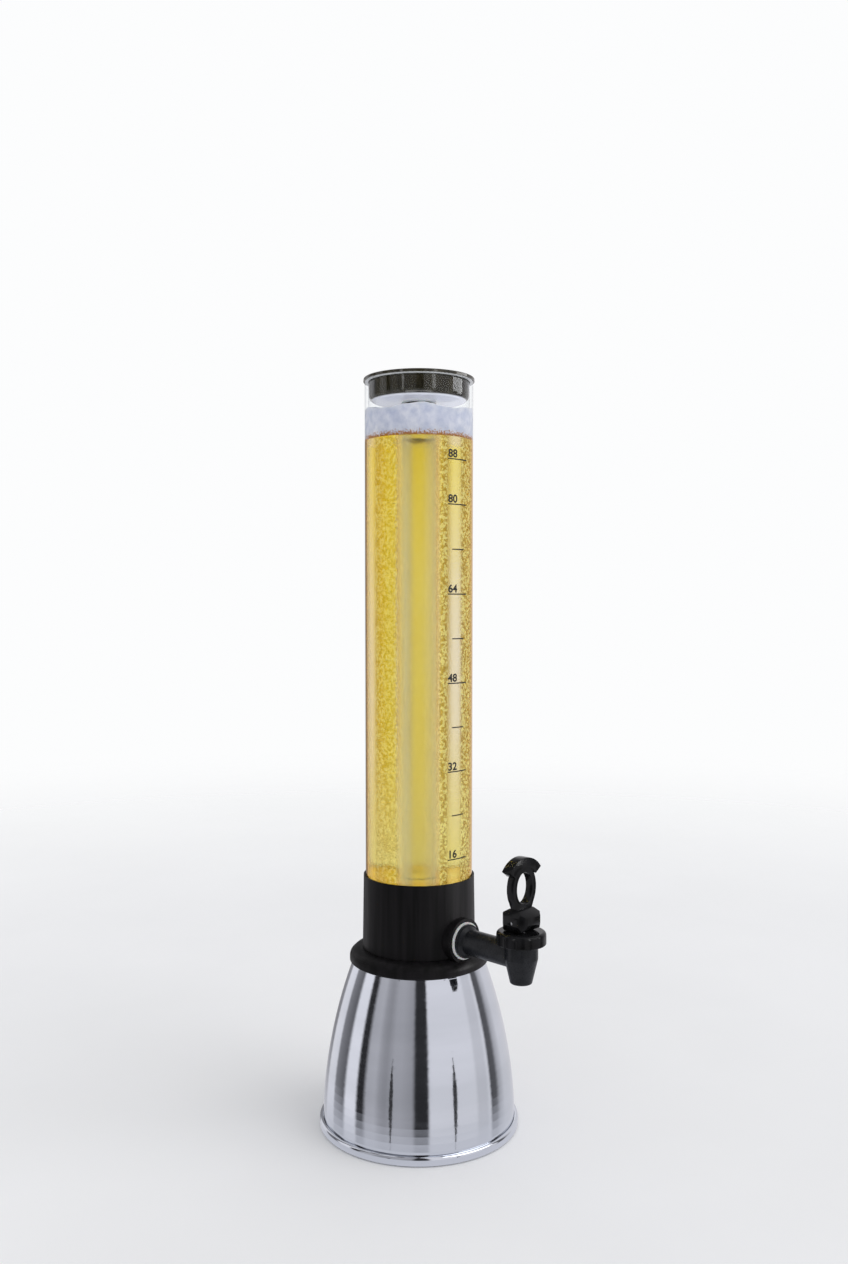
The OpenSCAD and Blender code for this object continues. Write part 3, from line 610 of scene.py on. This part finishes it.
def lumpy_foam():
    """Foam with a wavy edge on the wall, heaped up round the ice tube."""
    top = [(r, FOAM_EDGE) for r in steps(LIQUID_R - FOAM_RIM, hole_r + FOAM_RIM, FOAM_RINGS)]
    bm = revolve(
        wall(LIQUID_R, foam_low, FOAM_EDGE, FOAM_STEPS)
        + top
        + wall(hole_r, FOAM_EDGE, foam_low, FOAM_STEPS)
    )
    on_top = 0.99
    for vert in bm.verts:
        share = max(0, vert.co.z - foam_low) / (FOAM_EDGE - foam_low)
        turn = math.atan2(vert.co.y, vert.co.x) - FRONT
        wave = FOAM_WAVE * (math.cos(FOAM_WAVES * turn) - 1)
        climb = 1 - (math.hypot(vert.co.x, vert.co.y) - hole_r) / (LIQUID_R - hole_r)
        lump = (
            mathutils.noise.noise(vert.co * LUMPS_IN_A_METRE)
            + 0.5 * mathutils.noise.noise(vert.co * DIMPLES_IN_A_METRE)
        )
        if share > on_top:
            vert.co.z += FOAM_CLIMB * max(0, climb) ** 3 + FOAM_LUMP * lump
        vert.co.z += wave * share
    return bm


def shell(radius, sides):
    """A thin shell of beads or bubbles over a radius, from the collar to the foam."""
    inner, outer = sides
    return flat_ring(radius + inner, radius + outer, COLLAR_RIM, SHELL_TOP)


new_piece("drink", revolve(
    wall(LIQUID_R, drink_foot, LIQUID_TOP, WALL_STEPS)
    + wall(hole_r, LIQUID_TOP, drink_foot, WALL_STEPS)
), make_drink(), "tower")

# Painted light: a bright golden sheet level with the collar's rim, and a golden plug in the
# foot of the ice tube, stand in for the drink that glows there
new_piece("painted_drink_glow", flat_ring(
    hole_r + HAIR, LIQUID_R - HAIR, glow_z - GLOW_THICK, glow_z
), make_haze(), "tower")
new_piece("painted_ice_glow", flat_ring(
    0, ICE_BORE_R, ICE_FLOOR + ICE_GLOW_GAP, glow_z
), make_haze(), "ice_tube")

# Beads and bubbles, which also carry painted reflections and a painted sparkle
new_piece("mist_and_painted_reflection", shell(ICE_R, MIST_SHELL), make_mist(), "ice_tube")
new_piece("bubbles_and_painted_sparkle", shell(LIQUID_R, BUBBLE_SHELL), make_bubbles(), "tower")
# A pale band inside the top of the wall: the sawn edge, and a painted highlight line
new_piece("tube_end", flat_ring(
    TUBE_BORE_R + SAWN_GAP, LIQUID_R, TUBE_TOP - SAWN_LOW, TUBE_TOP - SAWN_HIGH
), sawn_edge_and_highlight, "tower")
new_piece("foam", lumpy_foam(), make_foam(), "tower", sharp=60)

# ---- level marks -----------------------------------------------------------------------


def on_tube(x, z):
    """The point on the tube's surface above the tap, x to the right along the wall."""
    return INK_R * math.sin(x / INK_R), -INK_R * math.cos(x / INK_R), z


def mark_height(ounces):
    return RESERVOIR_FLOOR + ounces * MARK_STEP


def mark_lines():
    bm = bmesh.new()
    for ounces in LONG_MARKS + SHORT_MARKS:
        half = (LONG_MARK if ounces in LONG_MARKS else SHORT_MARK) / 2
        middle = mark_height(ounces)
        low, high = (
            [bm.verts.new(on_tube(x, middle + side)) for x in steps(-half, half, MARK_STRIPS)]
            for side in (-MARK_LINE / 2, MARK_LINE / 2)
        )
        for i in range(MARK_STRIPS):
            bm.faces.new((low[i], low[i + 1], high[i + 1], high[i]))
    return bm


def flat_number(number):
    """A number as a flat mesh, its foot on the X axis."""
    text = bpy.data.curves.new("number", "FONT")
    text.body = str(number)
    text.size = NUMBER_SIZE
    text.offset = NUMBER_BOLD
    text.resolution_u = NUMBER_CURVE
    holder = bpy.data.objects.new("number", text)
    bpy.context.collection.objects.link(holder)
    flat = bpy.data.meshes.new_from_object(
        holder.evaluated_get(bpy.context.evaluated_depsgraph_get())
    )
    bpy.data.objects.remove(holder)
    bm = bmesh.new()
    bm.from_mesh(flat)
    bpy.data.meshes.remove(flat)
    return bm


def mark_numbers():
    """Plain numbers over the long lines, cut into narrow strips and wrapped on the tube."""
    bm = bmesh.new()
    for ounces in LONG_MARKS:
        one = flat_number(ounces)
        for x in steps(0, 2 * NUMBER_SIZE, MARK_STRIPS):
            geometry = one.verts[:] + one.edges[:] + one.faces[:]
            bmesh.ops.bisect_plane(one, geom=geometry, plane_co=(x, 0, 0), plane_no=(1, 0, 0))
        base = mark_height(ounces) + NUMBER_LIFT
        for vert in one.verts:
            vert.co = on_tube(NUMBER_WIDE * vert.co.x - LONG_MARK / 2, base + vert.co.y)
        wrapped = bpy.data.meshes.new("wrapped")
        one.to_mesh(wrapped)
        one.free()
        bm.from_mesh(wrapped)
        bpy.data.meshes.remove(wrapped)
    return bm


new_piece("level_lines", mark_lines(), ink, "tower")
new_piece("level_numbers", mark_numbers(), ink, "tower")

# ---- lever and valve -------------------------------------------------------------------


def copy_of(node):
    """A CAD node's shape."""
    bm = bmesh.new()
    bm.from_mesh(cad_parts[node].data)
    bmesh.ops.remove_doubles(bm, verts=bm.verts, dist=1e-6)
    return bm


def rounded_copy(node, width):
    """A CAD node's shape with its flat faces joined and its edges rounded."""
    bm = copy_of(node)
    bmesh.ops.dissolve_limit(bm, angle_limit=SAME_PLANE, verts=bm.verts, edges=bm.edges)
    edges = [
        e for e in bm.edges if len(e.link_faces) == 2 and e.calc_face_angle() > LEVER_CORNER
    ]
    bmesh.ops.bevel(
        bm, geom=edges, offset=width, segments=LEVER_SEGMENTS, profile=0.5, affect="EDGES",
        clamp_overlap=True,
    )
    return bm


def stretched_copy(name, node):
    """A copy of a soft node as a piece of its own, in place of the node, which is hidden."""
    piece = new_piece(name, copy_of(node), FINISHES[node])
    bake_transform(piece)
    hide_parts(node)


lever = new_piece("lever_moulding", rounded_copy("lever", LEVER_ROUND), tap_black, "lever")
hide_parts("lever")

stretched_copy(
    "cup_wall", "seat_cup"
)
stretched_copy("spring_coil", "spring")

# ---- stage -----------------------------------------------------------------------------

scene = bpy.context.scene
scene.view_settings.view_transform = "Standard"

FLOOR_R = 8.0
FLOOR_SIDES = 96
FLOOR_FADE = (0.25, 2.6)


def make_floor():
    """A pale floor that fades into the white backdrop."""
    bm = bmesh.new()
    bmesh.ops.create_circle(bm, cap_ends=True, segments=FLOOR_SIDES, radius=FLOOR_R)
    material = surface(
        "floor_pale", (0.87, 0.87, 0.88), (0.90, 0.90, 0.91), (0.7, 0.8), 0.4, 4 * MM,
        0.02 * MM,
    )
    tree = material.node_tree
    fade = remap(tree, distance(tree), *FLOOR_FADE, 0.0, 1.0)
    fade.node.interpolation_type = "SMOOTHSTEP"
    gone = tree.nodes.new("ShaderNodeBsdfTransparent")
    show(tree, mix_shaders(tree, fade, tree.nodes["Principled BSDF"], gone))
    floor = new_object("floor", bm, material)
    floor.visible_glossy = False


make_floor()

# What metal and glass see round the horizon: azimuth, brightness
SURROUNDINGS = (
    (-180, 0.34), (-175, 0.32), (-166, 0.43), (-157, 0.43), (-143, 0.35), (-139, 0.03),
    (-125, 0.03), (-122, 0.80), (-64, 0.80), (-60, 0.66), (-47, 0.66), (-42, 0.80),
    (-38, 0.10), (-29, 0.12), (-23, 0.45), (-10, 0.72), (30, 0.70), (34, 0.86),
    (44, 0.86), (50, 0.28), (76, 0.28), (82, 0.84), (101, 0.84), (105, 0.26),
    (123, 0.14), (128, 0.90), (144, 0.90), (147, 0.03), (155, 0.03), (160, 0.48),
    (171, 0.50), (178, 0.36),
)
# The floor that they see below it: the upward slopes between which it fades out, its colour
FLOOR_SLOPES = (-0.43, -0.28)
FLOOR_MIRRORED = (0.66, 0.66, 0.70)

# What is seen through the drink and the smoky lid: from azimuth, to azimuth, colour
SEEN_THROUGH = (
    (-180, -125, (1.05, 1.00, 0.85)),
    (-121, -72, (1.10, 1.05, 1.25)),
    (-69, -40, (0.95, 0.90, 0.95)),
    (-36, -9, (0.62, 0.36, 0.08)),
    (-6, 12.0, (0.99, 0.86, 1.00)),
    (13.0, 16.0, (0.62, 0.44, 0.06)),
    (17.5, 23, (0.80, 0.58, 0.015)),
    (25, 31, (0.88, 0.72, 0.09)),
    (33, 55.5, (0.95, 0.83, 0.30)),
    (57.2, 62.0, (0.48, 0.36, 0.14)),
    (62.8, 74, (0.90, 0.87, 1.45)),
    (75.0, 82, (0.48, 0.35, 0.15)),
    (83.5, 104, (0.72, 0.48, 0.18)),
    (108, 127, (0.86, 0.68, 0.16)),
    (130, 152, (0.95, 0.90, 0.95)),
    (155, 180, (1.05, 1.00, 0.85)),
)
# How these colours change with the upward slope of the view
SLOPES = (
    (-0.48, (1.30, 1.45, 3.00)),
    (-0.34, (0.94, 0.80, 0.35)),
    (-0.28, (0.94, 0.78, 0.25)),
    (-0.20, (0.97, 0.90, 0.60)),
    (-0.12, (0.95, 0.98, 1.30)),
    (-0.02, (0.97, 1.00, 1.45)),
    (0.05, (1.00, 1.00, 0.90)),
    (0.13, (1.00, 0.96, 0.35)),
    (0.30, (1.00, 0.96, 0.50)),
    (0.45, (1.30, 1.45, 3.00)),
)

BACKDROP = (0.975, 0.98, 0.985, 1)
SKYLIGHT = (0.97, 0.98, 1.0, 1)
SKYLIGHT_STRENGTH = 0.78


def cool(level):
    """A grey that is a little blue."""
    return level, level * 0.985, level * (1.04 - 0.03 * level)


def make_world():
    """Even white light, with a room of soft upright bands for mirrors and glass only."""
    world = bpy.data.worlds.new("studio")
    scene.world = world
    world.use_nodes = True
    tree = world.node_tree
    view = add(tree, "ShaderNodeTexCoord").outputs["Generated"]
    slope = add(tree, "ShaderNodeSeparateXYZ", Vector=view).outputs["Z"]
    around = azimuth_share(tree, view)

    mirrored = by_azimuth(tree, around, [(at, cool(level)) for at, level in SURROUNDINGS])
    near_floor = remap(tree, slope, *FLOOR_SLOPES, 1.0, 0.0)
    room = mix_colours(tree, near_floor, mirrored, FLOOR_MIRRORED)

    behind = by_azimuth(tree, around, [
        (at, colour) for start, end, colour in SEEN_THROUGH for at in (start, end)
    ])
    by_slope = colour_ramp(tree, remap(tree, slope, -0.5, 0.5, 0, 1), [
        (at + 0.5, colour) for at, colour in SLOPES
    ])
    through = mix_colours(tree, 1, behind, by_slope, "MULTIPLY")

    ray = tree.nodes.new("ShaderNodeLightPath")
    seen = add(tree, "ShaderNodeBackground", Color=SKYLIGHT, Strength=SKYLIGHT_STRENGTH)
    for kind, colour in (
        ("Is Glossy Ray", room), ("Is Transmission Ray", through), ("Is Camera Ray", BACKDROP)
    ):
        shown = add(tree, "ShaderNodeBackground", Color=colour, Strength=1.0)
        seen = mix_shaders(tree, ray.outputs[kind], seen, shown)
    wire(tree, tree.nodes["World Output"], Surface=seen.outputs[0])


make_world()

# ---- lamps -----------------------------------------------------------------------------


def new_lamp(name, kind, energy):
    lamp = bpy.data.lights.new(name, kind)
    lamp.energy = energy
    holder = bpy.data.objects.new(name, lamp)
    bpy.context.collection.objects.link(holder)
    return lamp, holder


def collection_of(name, parts):
    """A new collection of these parts; the lever's own mesh stands for the lever."""
    made = bpy.data.collections.new(name)
    for part in parts:
        made.objects.link(lever if part == "lever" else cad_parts[part])
    return made


def make_sun():
    lamp, sun = new_lamp("soft_sun", "SUN", 0.80)
    lamp.angle = math.radians(50)
    sun.rotation_euler = (math.radians(46), 0, math.radians(25))


make_sun()

# Upright strip lights that reach the dark parts alone: azimuth, width, brightness, parts
LIDS = ("lid",)
SMALL_PARTS = ("bonnet", "lever")
STRIPS = (
    (-171, 0.12, 7, SMALL_PARTS),
    (-171, 0.16, 2.5, LIDS),
    (-101, 0.20, 7, SMALL_PARTS),
    (-101, 0.24, 2.5, LIDS),
    (-50, 0.06, 14, SMALL_PARTS),
    (63, 0.10, 2, LIDS + SMALL_PARTS),
    (-36, 1.00, 4.5, LIDS),
    (-60, 0.90, 12, ("collar",)),
)
STRIP_DISTANCE = 1.7
STRIP_HEIGHT = 1.2
STRIP_MIDDLE = 0.7


def make_strips():
    for azimuth, width, brightness, parts in STRIPS:
        energy = brightness * math.pi * width * STRIP_HEIGHT
        lamp, strip = new_lamp("strip", "AREA", energy)
        lamp.shape = "RECTANGLE"
        lamp.size = width
        lamp.size_y = STRIP_HEIGHT
        turn = math.radians(azimuth)
        strip.location = (
            STRIP_DISTANCE * math.cos(turn), STRIP_DISTANCE * math.sin(turn), STRIP_MIDDLE
        )
        strip.rotation_euler = (math.radians(90), 0, turn + math.radians(90))
        strip.visible_camera = False
        strip.light_linking.receiver_collection = collection_of("lit", parts)


make_strips()


def make_foam_glow():
    """The light that real foam hands on to the floor of the plug. Only the lever blocks it."""
    lamp, glow = new_lamp("foam_glow", "SUN", 2.3)
    lamp.angle = math.radians(60)
    glow.rotation_euler = (math.radians(180), 0, 0)
    glow.light_linking.receiver_collection = collection_of("lit", LIDS)
    glow.light_linking.blocker_collection = collection_of("blockers", ("lever",))


make_foam_glow()

# Low dark panels that only mirrors see: azimuth, width
FLAGS = ((-167.5, 0.20), (-92.5, 0.22))
FLAG_DISTANCE = 2.5
FLAG_CORNERS = ((0, -1.05), (0.9, -0.55), (1, -0.25), (0, 0.12), (-1, -0.25), (-0.9, -0.55))


def make_flags():
    bm = bmesh.new()
    for azimuth, width in FLAGS:
        turn = math.radians(azimuth)
        middle = mathutils.Vector((math.cos(turn), math.sin(turn), 0)) * FLAG_DISTANCE
        side = mathutils.Vector((-math.sin(turn), math.cos(turn), 0)) * width / 2
        bm.faces.new([
            bm.verts.new(middle + side * across + mathutils.Vector((0, 0, z)))
            for across, z in FLAG_CORNERS
        ])
    flags = new_object("flags", bm, rubber)
    flags.visible_camera = False
    flags.visible_diffuse = False
    flags.visible_transmission = False
    flags.visible_shadow = False


make_flags()

# Light goes through many walls on its way through tube, drink and ice tube
scene.cycles.max_bounces = 16
scene.cycles.transmission_bounces = 16
scene.cycles.transparent_max_bounces = 24

# ---- camera ----------------------------------------------------------------------------


CAMERA_PLACE = (-0.7071, -0.7071, 0.4667)
CAMERA_TILT = 3.04
CAMERA_TURN = -45


def make_camera():
    """The photo's view: 1 m from the tube's axis on its FRONT side, tilted down a little."""
    lens = bpy.data.cameras.new("camera")
    lens.sensor_width = 36
    lens.lens = 32.18
    lens.shift_x = 0.004
    lens.shift_y = 0.0245
    camera = bpy.data.objects.new("camera", lens)
    camera.location = CAMERA_PLACE
    camera.rotation_euler = (math.radians(90 - CAMERA_TILT), 0, math.radians(CAMERA_TURN))
    bpy.context.collection.objects.link(camera)
    scene.camera = camera


make_camera()
